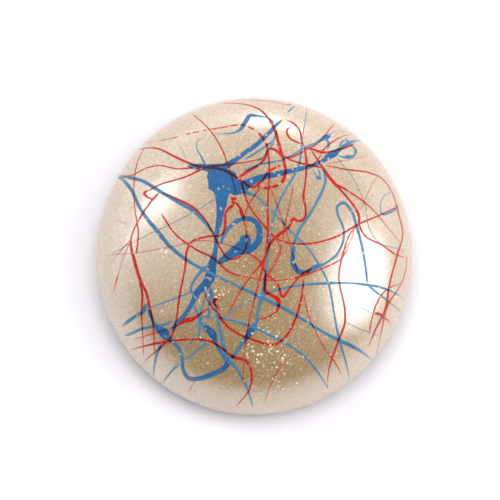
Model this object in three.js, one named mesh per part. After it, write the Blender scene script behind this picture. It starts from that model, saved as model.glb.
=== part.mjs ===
// A round cake of pearl ink, drizzled with red and blue ink and closed under a clear gloss coat.
// Millimetres, +Z up. The origin is the middle of the flat base.
import * as THREE from 'three';

// Driving dimensions

const cake = {
  halfWidth: 20, // outer half size along X, over the gloss coat
  halfDepth: 20.45, // outer half size along Y
  height: 12,
  waist: 2.6, // height of the widest line, above which the dome starts
  tuck: 0.9, // how far the wall draws in from the waist to the base
};

const coat = {
  wall: 0.25, // thickness of the clear coat over the dome
  inkGap: 0.03, // between the tallest crossing of ink and the coat over it
  seatGap: 0.05, // between the coat's skirt and the core
  seatDrop: 0.8, // the skirt hugs the core up to this far below the lowest ink
  lift: 0.15, // the skirt ends this far above the base, so the cake stands on its core
};

const ink = {
  thickness: 0.04, // of one trail
  firstGap: 0.03, // between the core and a trail that lies straight on it
  crossGap: 0.02, // between two trails where one is laid over the other
  sideGap: 0.04, // trails closer than this in plan count as crossing
  step: 1.0, // length of one straight piece of a trail
  rimGap: 0.3, // no trail comes nearer than this to the core's own outline
  drawnHalfWidth: 20, // the routes below are drawn on a cake of this half width
  drawnHalfDepth: 20.45, // and this half depth, and grow with it
};

const facets = { around: 64, dome: 12, wall: 2 }; // flats around the plan, up the dome and up the wall

const finish = {
  pearl: { color: 0xcbb498, roughness: 0.35, metalness: 0.25 },
  clear: { color: 0xf4efe8, roughness: 0.05, metalness: 0, transparent: true, opacity: 0.3 },
  blue: { color: 0x2a6fae, roughness: 0.2, metalness: 0 },
  red: { color: 0xd01712, roughness: 0.2, metalness: 0 },
};

// Trails in the order they were drizzled, each a list of [x, y, width] on the plan.
// A later trail lies over the earlier ones that it crosses.

const blueTrails = {
  blue_main_pool: [
    [-4.5, 9.1, 1.9], [-4.35, 8.2, 2.7], [-4.2, 7.1, 3.1], [-3.9, 6.0, 2.7], [-3.95, 4.9, 1.5],
  ],
  blue_trunk: [
    [-3.95, 4.5, 1.2], [-4.0, 3.4, 1.0], [-4.2, 1.8, 0.75], [-4.5, 0.0, 0.6], [-4.6, -1.6, 0.6],
    [-4.9, -3.0, 1.0], [-5.2, -4.6, 1.3], [-5.7, -5.6, 1.2], [-6.7, -6.5, 0.9], [-7.2, -7.5, 0.7],
    [-8.0, -8.8, 0.6], [-9.0, -9.8, 0.6], [-9.9, -10.9, 0.6],
  ],
  blue_right_arm: [
    [-2.9, 5.5, 1.2], [-1.6, 6.0, 1.5], [-0.4, 6.8, 1.1], [1.0, 7.4, 0.95], [2.4, 7.8, 0.8],
    [4.4, 8.3, 0.7], [6.4, 8.9, 0.6], [8.2, 9.8, 0.6], [9.1, 10.6, 0.9], [9.8, 11.1, 0.9],
    [10.6, 11.9, 0.6], [12.1, 13.2, 0.5], [13.4, 14.0, 0.35],
  ],
  blue_second_arm: [
    [-1.3, 8.2, 0.4], [0.5, 9.0, 0.35], [1.9, 9.4, 0.35], [3.2, 9.7, 0.3], [4.5, 10.4, 0.3],
    [5.6, 11.2, 0.3], [6.9, 12.0, 0.35], [8.1, 12.7, 0.25],
  ],
  blue_upper_bar: [
    [-8.1, 9.2, 0.6], [-6.9, 9.0, 0.85], [-5.4, 8.9, 0.8], [-3.4, 9.0, 0.9], [-2.2, 9.8, 0.7],
    [-1.0, 10.8, 0.7], [0.0, 11.6, 0.75], [1.0, 12.6, 0.65], [2.0, 13.8, 0.6], [2.8, 14.9, 0.5],
    [3.5, 15.7, 0.3],
  ],
  blue_upper_rail: [
    [-1.3, 9.7, 0.3], [0.2, 10.7, 0.35], [1.6, 11.8, 0.35], [2.4, 12.6, 0.3], [2.8, 14.0, 0.3],
  ],
  blue_upper_loop: [
    [-4.8, 13.5, 0.18], [-3.4, 13.5, 0.25], [-2.4, 13.6, 0.35], [-1.7, 14.1, 0.5], [-1.1, 15.2, 0.6],
    [-0.5, 16.2, 0.65], [0.5, 16.1, 0.5], [1.7, 15.8, 0.4], [2.5, 15.0, 0.4],
  ],
  blue_curl: [
    [-5.9, 9.1, 0.4], [-6.5, 10.4, 0.3], [-7.1, 11.8, 0.2], [-6.9, 12.7, 0.18], [-6.3, 13.2, 0.12],
  ],
  blue_centre_loop: [
    [-4.0, -1.0, 0.4], [-3.6, 0.2, 0.5], [-2.9, 1.2, 0.55], [-2.0, 1.9, 0.6], [-0.9, 2.2, 0.65],
    [0.2, 1.7, 0.7], [0.6, 0.6, 0.8], [0.3, -0.8, 0.9], [-0.8, -1.7, 0.9], [-2.0, -1.9, 0.9],
    [-3.2, -2.4, 0.8], [-4.3, -3.2, 0.8],
  ],
  blue_centre_pool: [[-1.7, 0.0, 0.6], [-1.3, -0.3, 1.5], [-0.9, -0.7, 1.8], [-0.4, -0.8, 1.5]],
  blue_lower_loop: [
    [-9.9, -12.1, 0.5], [-9.0, -12.8, 0.5], [-8.6, -14.0, 0.5], [-8.5, -15.2, 0.5],
    [-7.9, -16.2, 0.55], [-6.6, -16.3, 0.6], [-5.2, -15.9, 0.65], [-3.9, -15.4, 0.65],
    [-3.2, -14.7, 0.7], [-3.2, -13.9, 0.7],
  ],
  blue_left_arm: [
    [-16.2, -9.9, 0.25], [-15.3, -9.4, 0.5], [-14.3, -8.9, 0.45], [-13.3, -8.4, 0.55],
    [-12.9, -7.5, 0.6],
  ],
  blue_left_bar: [
    [-15.9, -10.9, 0.25], [-15.0, -10.8, 0.4], [-13.5, -10.4, 0.4], [-12.2, -10.2, 0.4],
    [-10.9, -10.1, 0.35], [-9.5, -9.7, 0.3],
  ],
  blue_left_drop: [
    [-12.7, -8.1, 0.6], [-12.3, -9.1, 0.5], [-11.8, -10.1, 0.6], [-11.1, -10.8, 0.9],
    [-10.5, -11.5, 1.1],
  ],
  blue_left_tail: [
    [-11.0, -12.2, 0.55], [-11.6, -13.2, 0.45], [-12.0, -14.3, 0.4], [-12.3, -15.8, 0.25],
  ],
  blue_small_pool: [
    [-6.2, -10.2, 0.5], [-5.5, -10.7, 1.0], [-4.9, -11.2, 1.2], [-4.7, -12.0, 0.7], [-4.3, -13.0, 0.6],
    [-3.7, -14.0, 0.6],
  ],
  blue_long_thread: [
    [-17.4, 9.5, 0.4], [-16.2, 8.3, 0.45], [-15.0, 6.6, 0.5], [-14.2, 4.8, 0.45], [-13.3, 3.2, 0.5],
    [-11.6, 1.0, 0.55], [-10.2, -0.8, 0.55], [-9.0, -1.9, 0.5], [-7.7, -2.9, 0.45], [-5.2, -4.3, 0.4],
    [-2.4, -5.7, 0.4], [0.8, -7.2, 0.5], [4.3, -8.9, 0.45], [8.4, -11.2, 0.4], [10.1, -11.9, 0.5],
    [12.7, -12.9, 0.45], [14.2, -13.7, 0.25],
  ],
  blue_left_thread: [
    [-17.1, 9.4, 0.45], [-15.5, 8.6, 0.5], [-13.6, 7.7, 0.5], [-11.6, 6.2, 0.55], [-9.6, 4.8, 0.5],
    [-7.2, 3.2, 0.5], [-5.7, 1.6, 0.45], [-4.7, 0.2, 0.4],
  ],
  blue_swan_thread: [
    [13.5, -5.1, 0.4], [13.3, -3.2, 0.38], [12.9, -0.8, 0.4], [12.3, 1.6, 0.42], [11.7, 3.5, 0.42],
    [10.8, 4.5, 0.45], [9.95, 4.0, 0.42], [9.95, 3.1, 0.38], [10.6, 1.4, 0.35], [10.6, -0.2, 0.35],
    [9.7, -2.0, 0.35], [8.3, -3.1, 0.35], [7.3, -3.5, 0.6], [6.2, -4.1, 0.5], [5.2, -4.1, 0.75],
    [4.6, -3.1, 0.7], [4.7, -1.0, 0.5], [5.2, 0.6, 0.4], [6.8, 3.2, 0.4], [8.3, 6.2, 0.4],
    [8.6, 7.4, 0.35], [8.3, 8.8, 0.4],
  ],
  blue_rising_thread: [
    [-2.6, -14.2, 0.5], [-1.5, -12.5, 0.7], [-0.3, -10.9, 0.95], [0.2, -10.1, 0.55], [0.4, -8.8, 0.4],
    [0.9, -7.0, 0.5], [1.2, -5.2, 0.4], [1.6, -2.2, 0.35], [2.2, 2.0, 0.35], [3.2, 4.8, 0.35],
    [4.8, 7.8, 0.35], [5.4, 9.2, 0.35], [6.0, 13.6, 0.2], [6.7, 17.8, 0.22],
  ],
  blue_falling_thread: [
    [-5.2, -6.2, 0.5], [-4.7, -7.6, 0.35], [-4.4, -9.0, 0.35], [-4.1, -10.6, 0.45],
    [-3.6, -12.4, 0.35], [-3.0, -14.2, 0.45], [-2.1, -15.3, 0.4], [-1.3, -16.6, 0.35],
    [-0.6, -18.2, 0.3], [-0.2, -19.5, 0.3],
  ],
  blue_bent_drop: [
    [-7.2, -8.0, 0.3], [-6.5, -9.4, 0.35], [-6.4, -10.4, 0.35], [-6.5, -11.4, 0.35],
    [-6.0, -12.4, 0.4], [-5.1, -12.5, 0.3],
  ],
  blue_low_thread: [
    [-6.6, -9.2, 0.3], [-4.6, -9.4, 0.3], [-2.8, -9.8, 0.35], [-0.2, -10.6, 0.4], [2.0, -11.6, 0.35],
    [4.5, -12.9, 0.35], [6.3, -14.2, 0.35], [7.8, -15.9, 0.3], [9.0, -17.4, 0.2],
  ],
  blue_cross_thread: [
    [-3.3, -9.6, 0.2], [-1.8, -8.2, 0.25], [0.6, -7.1, 0.3], [2.8, -6.3, 0.3], [5.6, -5.7, 0.35],
    [8.6, -5.4, 0.4], [11.0, -5.25, 0.28], [13.4, -5.3, 0.42], [15.6, -5.5, 0.32], [18.2, -6.2, 0.22],
  ],
  blue_steep_thread: [
    [-1.6, 5.7, 0.7], [0.2, 4.9, 0.35], [1.6, 3.6, 0.3], [4.1, 0.9, 0.3], [6.6, -1.7, 0.28],
    [8.0, -3.9, 0.3], [8.8, -5.6, 0.33], [9.4, -8.8, 0.3], [10.0, -11.5, 0.35], [11.2, -15.0, 0.28],
    [11.7, -16.4, 0.2],
  ],
  blue_right_thread: [
    [10.0, 10.8, 0.15], [12.1, 7.8, 0.18], [13.4, 4.6, 0.18], [13.9, 1.5, 0.18], [15.2, -0.1, 0.18],
    [18.6, -0.5, 0.18],
  ],
  blue_slant_thread: [
    [-17.6, -1.2, 0.12], [-14.0, 0.2, 0.16], [-10.0, 1.8, 0.18], [-7.3, 3.1, 0.18], [-4.6, 4.7, 0.2],
  ],
  blue_rim_hook: [
    [17.2, 7.0, 0.16], [16.0, 6.1, 0.2], [15.4, 4.7, 0.2], [15.6, 3.6, 0.3], [16.9, 4.2, 0.35],
    [18.0, 5.2, 0.3],
  ],
};

const redTrails = {
  red_upper_run: [
    [-14.6, 12.8, 0.25], [-12.1, 12.2, 0.3], [-9.4, 10.4, 0.35], [-6.7, 9.0, 0.4], [-4.0, 8.5, 0.4],
    [-1.7, 7.1, 0.4], [-0.3, 6.1, 0.4], [0.8, 6.8, 0.4], [1.8, 8.2, 0.35], [3.3, 9.1, 0.3],
  ],
  red_side_run: [
    [-12.9, 6.3, 0.25], [-11.4, 7.0, 0.3], [-8.4, 7.7, 0.3], [-5.9, 8.8, 0.35], [-3.4, 9.1, 0.3],
    [-0.6, 9.5, 0.25], [1.7, 10.1, 0.2],
  ],
  red_left_loop: [
    [-17.0, 9.0, 0.2], [-15.0, 8.9, 0.25], [-13.3, 9.5, 0.25], [-11.6, 9.6, 0.25], [-9.4, 8.9, 0.25],
    [-7.4, 8.9, 0.3],
  ],
  red_crest_loop: [
    [-13.8, 13.6, 0.2], [-10.6, 13.4, 0.2], [-7.6, 13.9, 0.25], [-4.2, 14.4, 0.25], [-1.4, 14.7, 0.3],
    [0.6, 13.4, 0.35], [1.6, 11.2, 0.4], [0.9, 9.4, 0.4], [-0.9, 8.1, 0.45], [-1.9, 7.3, 0.4],
  ],
  red_hook: [
    [-4.0, 18.7, 0.25], [-1.2, 18.2, 0.28], [0.6, 17.3, 0.32], [1.8, 15.7, 0.38], [2.6, 13.7, 0.42],
    [3.1, 11.4, 0.48], [3.6, 9.5, 0.45], [3.7, 7.8, 0.48], [3.2, 6.7, 0.5], [1.6, 6.0, 0.42],
    [0.2, 6.2, 0.32],
  ],
  red_diagonal: [
    [-7.8, 17.1, 0.2], [-5.4, 14.0, 0.25], [-4.0, 11.4, 0.25], [-3.1, 8.8, 0.25], [-2.2, 5.5, 0.2],
  ],
  red_plumb_line: [
    [1.6, 11.6, 0.3], [1.8, 8.8, 0.3], [1.6, 4.3, 0.3], [1.5, -1.0, 0.35], [0.9, -4.0, 0.3],
    [0.0, -7.4, 0.25], [-0.8, -10.8, 0.25], [-1.3, -14.2, 0.2],
  ],
  red_heavy_run: [
    [6.1, 11.6, 0.3], [6.3, 10.2, 0.5], [6.3, 8.7, 0.42], [6.0, 6.0, 0.35], [5.85, 5.1, 0.5],
    [6.1, 3.6, 0.4], [6.0, 2.4, 0.4], [5.3, 1.9, 0.5], [4.6, 2.2, 0.5], [4.1, 1.2, 0.5],
    [2.9, 0.2, 0.6], [1.9, -0.8, 0.5], [1.1, -2.8, 0.4], [-0.6, -5.0, 0.3], [-2.2, -7.4, 0.28],
    [-3.1, -9.4, 0.2],
  ],
  red_right_run: [
    [6.9, 11.4, 0.3], [8.0, 9.5, 0.4], [8.7, 8.3, 0.5], [9.4, 7.3, 0.6], [10.4, 6.2, 0.42],
    [12.1, 4.1, 0.42], [12.6, 3.0, 0.48], [12.6, 1.9, 0.38], [13.4, 0.5, 0.35], [15.4, -0.3, 0.3],
    [17.2, -1.2, 0.32], [18.7, -1.35, 0.2],
  ],
  red_right_branch: [
    [9.9, 6.9, 0.35], [11.7, 5.9, 0.32], [14.2, 4.2, 0.25], [16.4, 1.9, 0.15], [17.9, 0.4, 0.15],
  ],
  red_small_loop: [
    [3.9, 15.7, 0.2], [5.0, 15.0, 0.35], [5.7, 13.8, 0.3], [5.8, 12.5, 0.25], [6.2, 11.5, 0.2],
  ],
  red_half_ring: [[4.4, 14.4, 0.3], [4.0, 13.6, 0.3], [4.3, 12.8, 0.3], [5.4, 12.3, 0.25]],
  red_beaded_run: [
    [6.1, 11.5, 0.3], [7.2, 11.4, 0.38], [8.3, 11.1, 0.48], [9.4, 11.3, 0.35], [10.6, 11.8, 0.35],
    [12.5, 12.9, 0.3],
  ],
  red_crossbar: [
    [3.4, 10.4, 0.3], [4.4, 9.8, 0.3], [5.6, 9.4, 0.3], [7.0, 9.2, 0.35], [8.2, 8.9, 0.3],
  ],
  red_left_run: [
    [-11.6, 5.9, 0.4], [-13.4, 3.6, 0.3], [-14.9, 0.4, 0.3], [-14.4, -2.4, 0.48], [-13.7, -4.6, 0.42],
    [-12.9, -6.3, 0.4], [-12.5, -8.0, 0.42], [-12.1, -9.8, 0.32], [-12.0, -11.4, 0.25],
    [-12.0, -13.3, 0.2],
  ],
  red_far_left_run: [
    [-13.8, 12.9, 0.2], [-14.6, 10.4, 0.25], [-14.8, 7.6, 0.2], [-14.6, 4.6, 0.2], [-14.0, 1.0, 0.25],
    [-14.2, -1.6, 0.3],
  ],
  red_double_run: [
    [-13.8, -4.8, 0.28], [-13.4, -6.4, 0.35], [-13.5, -8.6, 0.3], [-13.4, -11.2, 0.22],
    [-13.4, -13.5, 0.2],
  ],
  red_knot_in: [
    [-11.2, 5.9, 0.35], [-9.3, 4.9, 0.35], [-7.4, 3.8, 0.35], [-5.9, 2.2, 0.3], [-4.8, 0.2, 0.3],
    [-3.9, -1.6, 0.3], [-3.0, -2.7, 0.3], [-1.9, -2.5, 0.3], [-1.1, -1.6, 0.3], [-0.9, -0.2, 0.3],
    [-1.2, 1.8, 0.3], [-1.8, 3.4, 0.4],
  ],
  red_knot_out: [
    [-2.5, 4.4, 0.8], [-2.7, 3.8, 0.6], [-3.4, 2.9, 0.5], [-3.5, 1.2, 0.5], [-3.9, 0.2, 0.4],
    [-5.6, 0.05, 0.38], [-7.4, -0.5, 0.42], [-8.0, -1.6, 0.45], [-8.2, -3.6, 0.38], [-8.8, -6.6, 0.38],
    [-9.3, -9.8, 0.38], [-9.8, -11.4, 0.38], [-11.0, -12.5, 0.35], [-13.6, -14.2, 0.22],
  ],
  red_smile: [
    [-1.6, 6.8, 0.35], [-0.7, 3.9, 0.3], [0.9, 1.6, 0.3], [2.9, -0.4, 0.3], [6.2, -0.8, 0.3],
    [9.7, 0.2, 0.3], [12.4, 1.9, 0.3], [15.2, 3.4, 0.25], [17.8, 5.1, 0.2],
  ],
  red_belly_run: [
    [-11.2, 3.2, 0.25], [-9.4, 0.5, 0.3], [-7.0, -1.4, 0.3], [-4.8, -2.6, 0.32], [-3.0, -4.2, 0.3],
    [0.0, -5.0, 0.22], [3.0, -5.2, 0.22], [5.3, -4.75, 0.3], [7.5, -3.9, 0.25], [10.2, -2.5, 0.25],
    [11.2, -1.0, 0.2],
  ],
  red_zigzag: [
    [-0.9, -1.9, 0.25], [0.4, -2.8, 0.3], [1.4, -4.4, 0.3], [2.7, -5.6, 0.3], [3.3, -7.1, 0.4],
    [4.3, -5.9, 0.28], [5.4, -4.6, 0.3],
  ],
  red_low_run: [
    [-15.0, -12.6, 0.22], [-11.2, -12.1, 0.35], [-7.6, -11.9, 0.3], [-5.4, -12.1, 0.35],
    [-3.5, -13.2, 0.35], [-2.4, -14.0, 0.42], [-1.0, -14.4, 0.38], [-0.35, -15.8, 0.35],
    [-0.6, -17.6, 0.28], [-2.2, -19.5, 0.2],
  ],
  red_dart_run: [
    [-5.2, -8.2, 0.25], [-6.5, -9.1, 0.3], [-7.4, -9.6, 0.55], [-8.3, -9.8, 0.55], [-9.2, -10.3, 0.25],
    [-11.4, -10.9, 0.22], [-14.6, -11.5, 0.15],
  ],
  red_basket: [
    [-4.3, -8.9, 0.45], [-3.5, -10.2, 0.35], [-2.0, -11.3, 0.32], [0.0, -12.1, 0.35],
    [2.3, -12.6, 0.32], [3.7, -11.6, 0.35], [4.9, -9.4, 0.35], [5.5, -7.2, 0.35], [5.8, -5.0, 0.3],
  ],
  red_small_bend: [
    [1.4, -4.2, 0.45], [1.25, -5.6, 0.42], [1.3, -6.5, 0.5], [2.1, -7.0, 0.42], [2.8, -7.5, 0.6],
    [2.7, -8.6, 0.35], [1.9, -9.3, 0.3], [0.3, -9.8, 0.2],
  ],
  red_steep_thread: [
    [4.7, 6.4, 0.2], [4.1, 3.6, 0.2], [3.6, 1.4, 0.25], [3.1, -1.4, 0.2], [2.1, -3.6, 0.2],
  ],
  red_shoulder_run: [
    [12.3, 1.8, 0.3], [11.3, 0.4, 0.3], [10.6, -1.6, 0.35], [10.0, -4.6, 0.35], [10.7, -8.2, 0.4],
    [10.7, -10.0, 0.42], [9.8, -12.4, 0.38], [8.9, -15.2, 0.32], [8.8, -17.3, 0.22],
  ],
  red_rim_run: [
    [8.6, 9.3, 0.3], [11.2, 9.0, 0.35], [14.0, 9.0, 0.38], [15.9, 8.5, 0.35], [17.2, 6.8, 0.38],
    [17.8, 4.4, 0.45], [18.3, 1.6, 0.38], [17.4, -1.4, 0.38], [16.4, -4.8, 0.38], [15.8, -8.0, 0.45],
    [14.6, -10.4, 0.38], [13.8, -12.4, 0.25],
  ],
};

// The dome, inset evenly from the outside

function domeSizes(inset) {
  return {
    halfWidth: cake.halfWidth - inset,
    halfDepth: cake.halfDepth - inset,
    rise: cake.height - cake.waist - inset,
  };
}

// How far the flats of a turned body cut inside the true dome
const facetDip =
  cake.halfWidth * (2 - Math.cos(Math.PI / facets.around) - Math.cos(Math.PI / 4 / facets.dome));

// The wall below the waist, from the height `from` up to just under the waist
function wallProfile(inset, from) {
  const radius = cake.halfWidth - inset;
  const points = [];
  for (let i = 0; i < facets.wall; i++) {
    const z = from + ((cake.waist - from) * i) / facets.wall;
    const below = (cake.waist - z) / cake.waist;
    points.push(new THREE.Vector2(radius - cake.tuck * (1 - Math.sqrt(1 - below * below)), z));
  }
  return points;
}

// The dome above the height `from`, up to the axis
function domeProfile(inset, from = cake.waist) {
  const { halfWidth, rise } = domeSizes(inset);
  const start = Math.asin((from - cake.waist) / rise);
  const points = [];
  for (let i = 0; i <= facets.dome; i++) {
    const angle = start + ((Math.PI / 2 - start) * i) / facets.dome;
    const radius = i === facets.dome ? 0 : halfWidth * Math.cos(angle);
    points.push(new THREE.Vector2(radius, cake.waist + rise * Math.sin(angle)));
  }
  return points;
}

function domeRadiusAt(inset, z) {
  const { halfWidth, rise } = domeSizes(inset);
  return halfWidth * Math.sqrt(1 - ((z - cake.waist) / rise) ** 2);
}

// Turns a profile into a body whose plan is as oval as the cake
function turned(profile, inset) {
  const geometry = new THREE.LatheGeometry(profile, facets.around);
  geometry.rotateX(Math.PI / 2);
  const oval = (cake.halfDepth - inset) / (cake.halfWidth - inset);
  return geometry.scale(1, oval, 1);
}

function pearlCore(inset) {
  const foot = new THREE.Vector2(0, 0);
  return turned([foot, ...wallProfile(inset, 0), ...domeProfile(inset)], inset);
}

function glossCoat(coreInset, seatTop) {
  const outside = [...wallProfile(0, coat.lift), ...domeProfile(0)];
  const seatInset = coreInset - coat.seatGap;
  const skirt = [
    ...wallProfile(seatInset, coat.lift),
    new THREE.Vector2(cake.halfWidth - seatInset, cake.waist),
    new THREE.Vector2(domeRadiusAt(seatInset, seatTop), seatTop),
  ];
  const inside = [...skirt, ...domeProfile(coat.wall, seatTop)];
  return turned([...outside, ...inside.reverse(), outside[0].clone()], 0);
}

// A station is one cross section of a trail: its place on the plan, its width,
// and how high its underside lies above the core.

function planStations(route, core) {
  const growX = cake.halfWidth / ink.drawnHalfWidth;
  const growY = cake.halfDepth / ink.drawnHalfDepth;
  const spine = new THREE.CatmullRomCurve3(
    route.map(([x, y, width]) => new THREE.Vector3(x * growX, y * growY, width)),
    false,
    'centripetal',
  );
  const count = Math.max(2, Math.round(spine.getLength() / ink.step));
  return spine.getSpacedPoints(count).map((p) => {
    const reach = Math.hypot(p.x / (core.halfWidth - ink.rimGap), p.y / (core.halfDepth - ink.rimGap));
    const pull = reach > 1 ? 1 / reach : 1;
    return { x: p.x * pull, y: p.y * pull, width: p.z, height: ink.firstGap };
  });
}

// How far a flat trail's edges stand off the curved core under it
function edgeLift(width, core) {
  const flattest = core.halfWidth ** 2 / core.rise;
  return (width / 2) ** 2 / (2 * flattest);
}

function pointToSegment(p, a, b) {
  const dx = b.x - a.x;
  const dy = b.y - a.y;
  const along = ((p.x - a.x) * dx + (p.y - a.y) * dy) / (dx * dx + dy * dy || 1);
  const t = Math.min(1, Math.max(0, along));
  return Math.hypot(p.x - a.x - t * dx, p.y - a.y - t * dy);
}

function turnOf(a, b, c) {
  return (b.x - a.x) * (c.y - a.y) - (b.y - a.y) * (c.x - a.x);
}

function segmentsApart([a, b], [c, d]) {
  const crossing = turnOf(a, b, c) * turnOf(a, b, d) < 0 && turnOf(c, d, a) * turnOf(c, d, b) < 0;
  if (crossing) return 0;
  return Math.min(
    pointToSegment(a, c, d),
    pointToSegment(b, c, d),
    pointToSegment(c, a, b),
    pointToSegment(d, a, b),
  );
}

function segmentsOf(stations) {
  return stations.slice(1).map((end, i) => [stations[i], end]);
}

// Lifts a new trail over every trail already laid that it crosses
function layOver(stations, laid, core) {
  const lifted = stations.map((station) => station.height);
  segmentsOf(stations).forEach((segment, i) => {
    const width = Math.max(segment[0].width, segment[1].width);
    for (const under of laid) {
      const underWidth = Math.max(under[0].width, under[1].width);
      if (segmentsApart(segment, under) > (width + underWidth) / 2 + ink.sideGap) continue;
      const top = Math.max(under[0].height, under[1].height) + ink.thickness + edgeLift(underWidth, core);
      lifted[i] = Math.max(lifted[i], top + ink.crossGap);
      lifted[i + 1] = Math.max(lifted[i + 1], top + ink.crossGap);
    }
  });
  stations.forEach((station, i) => {
    station.height = lifted[i];
  });
  laid.push(...segmentsOf(stations));
}

// Lays every trail over a core with this inset. The tallest top and the lowest foot of the ink
// are what the coat has to clear.
function laidOut(inset) {
  const core = domeSizes(inset);
  const laid = [];
  const trails = Object.entries({ ...blueTrails, ...redTrails }).map(([name, route]) => {
    const stations = planStations(route, core);
    layOver(stations, laid, core);
    return { name, stations };
  });
  const all = trails.flatMap(({ stations }) => stations);
  const tops = all.map(({ width, height }) => height + ink.thickness + edgeLift(width, core));
  const feet = all.map(({ x, y }) => surfaceAt(x, y, core).z);
  return { core, trails, tallest: Math.max(...tops), lowest: Math.min(...feet) };
}

// The line through the middle of a laid trail. Its frames stand square on the dome, and are
// as long as the trail is thick and wide, so that a unit square swept along it becomes the trail.
class TrailSpine extends THREE.Curve {
  constructor(stations, core) {
    super();
    this.outward = stations.map(({ x, y }) => outwardAt(x, y, core));
    this.points = stations.map(({ x, y, height }, i) =>
      surfaceAt(x, y, core).addScaledVector(this.outward[i], height + ink.thickness / 2),
    );
    this.widths = stations.map(({ width }) => width);
  }

  getSpacedPoints() {
    return this.points;
  }

  computeFrenetFrames() {
    const last = this.points.length - 1;
    const tangents = this.points.map((_, i) => {
      const ahead = this.points[Math.min(last, i + 1)];
      return ahead.clone().sub(this.points[Math.max(0, i - 1)]).normalize();
    });
    const normals = this.outward.map((outward) => outward.clone().multiplyScalar(ink.thickness));
    const binormals = this.outward.map((outward, i) =>
      tangents[i].clone().cross(outward).normalize().multiplyScalar(this.widths[i]),
    );
    return { tangents, normals, binormals };
  }
}

function surfaceAt(x, y, core) {
  const q = 1 - (x / core.halfWidth) ** 2 - (y / core.halfDepth) ** 2;
  return new THREE.Vector3(x, y, cake.waist + core.rise * Math.sqrt(Math.max(0, q)));
}

function outwardAt(x, y, core) {
  const rise = surfaceAt(x, y, core).z - cake.waist;
  return new THREE.Vector3(
    x / core.halfWidth ** 2,
    y / core.halfDepth ** 2,
    rise / core.rise ** 2,
  ).normalize();
}

const unitSquare = new THREE.Shape([
  new THREE.Vector2(-0.5, -0.5),
  new THREE.Vector2(0.5, -0.5),
  new THREE.Vector2(0.5, 0.5),
  new THREE.Vector2(-0.5, 0.5),
]);

function trailBody(stations, core) {
  return new THREE.ExtrudeGeometry(unitSquare, {
    steps: stations.length - 1,
    extrudePath: new TrailSpine(stations, core),
    bevelEnabled: false,
  });
}

// The assembly

const group = new THREE.Group();

function add(name, geometry, look) {
  const mesh = new THREE.Mesh(geometry, new THREE.MeshStandardMaterial(look));
  mesh.name = name;
  group.add(mesh);
}

// The first layout, right under the coat's wall, only tells how much room the ink needs
const inkRoom = laidOut(coat.wall).tallest + facetDip + coat.inkGap;
const coreInset = coat.wall + inkRoom;
const { core, trails, lowest } = laidOut(coreInset);

add('pearl_core', pearlCore(coreInset), finish.pearl);
for (const { name, stations } of trails) {
  add(name, trailBody(stations, core), name in blueTrails ? finish.blue : finish.red);
}
add('gloss_coat', glossCoat(coreInset, lowest - coat.seatDrop), finish.clear);

export default group;
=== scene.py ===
import math
import random

import bmesh
import bpy
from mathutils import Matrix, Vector, geometry, noise
from mathutils.bvhtree import BVHTree


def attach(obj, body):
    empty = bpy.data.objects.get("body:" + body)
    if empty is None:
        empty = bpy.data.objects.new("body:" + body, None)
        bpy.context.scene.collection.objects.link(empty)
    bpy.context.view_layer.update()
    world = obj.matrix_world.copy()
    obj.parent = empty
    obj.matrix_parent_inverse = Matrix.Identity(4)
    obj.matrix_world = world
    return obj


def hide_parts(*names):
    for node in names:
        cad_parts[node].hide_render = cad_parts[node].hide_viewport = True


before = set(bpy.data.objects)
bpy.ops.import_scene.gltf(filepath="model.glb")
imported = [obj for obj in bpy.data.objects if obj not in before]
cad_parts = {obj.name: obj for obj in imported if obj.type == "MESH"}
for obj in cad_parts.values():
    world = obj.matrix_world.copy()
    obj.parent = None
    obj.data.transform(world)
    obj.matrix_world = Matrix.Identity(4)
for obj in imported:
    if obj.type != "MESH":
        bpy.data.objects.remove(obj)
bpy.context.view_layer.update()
print("frame loaded")

mm = 0.001  # every size below is in millimetres until it reaches a mesh


# Shader sums: a wire is the output of a node, and can be used in an expression
class Wire:
    def __init__(self, look, socket):
        self.look, self.socket = look, socket

    def maths(self, operation, *values):
        return self.look.node("Math", {"operation": operation}, dict(enumerate(values)))

    def __add__(self, other):
        return self.maths("ADD", self, other)

    def __rsub__(self, other):
        return self.maths("SUBTRACT", other, self)

    def __mul__(self, other):
        return self.maths("MULTIPLY", self, other)

    def __truediv__(self, other):
        return self.maths("DIVIDE", self, other)

    def __pow__(self, other):
        return self.maths("POWER", self, other)

    __radd__ = __add__
    __rmul__ = __mul__

    def above(self, low, high):
        # 0 at low and under, 1 at high and over, with a soft step between
        settings = {"interpolation_type": "SMOOTHSTEP"}
        inputs = {"Value": self, "From Min": low, "From Max": high}
        return self.look.node("MapRange", settings, inputs)

    def output(self, name):
        return Wire(self.look, self.socket.node.outputs[name])


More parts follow.
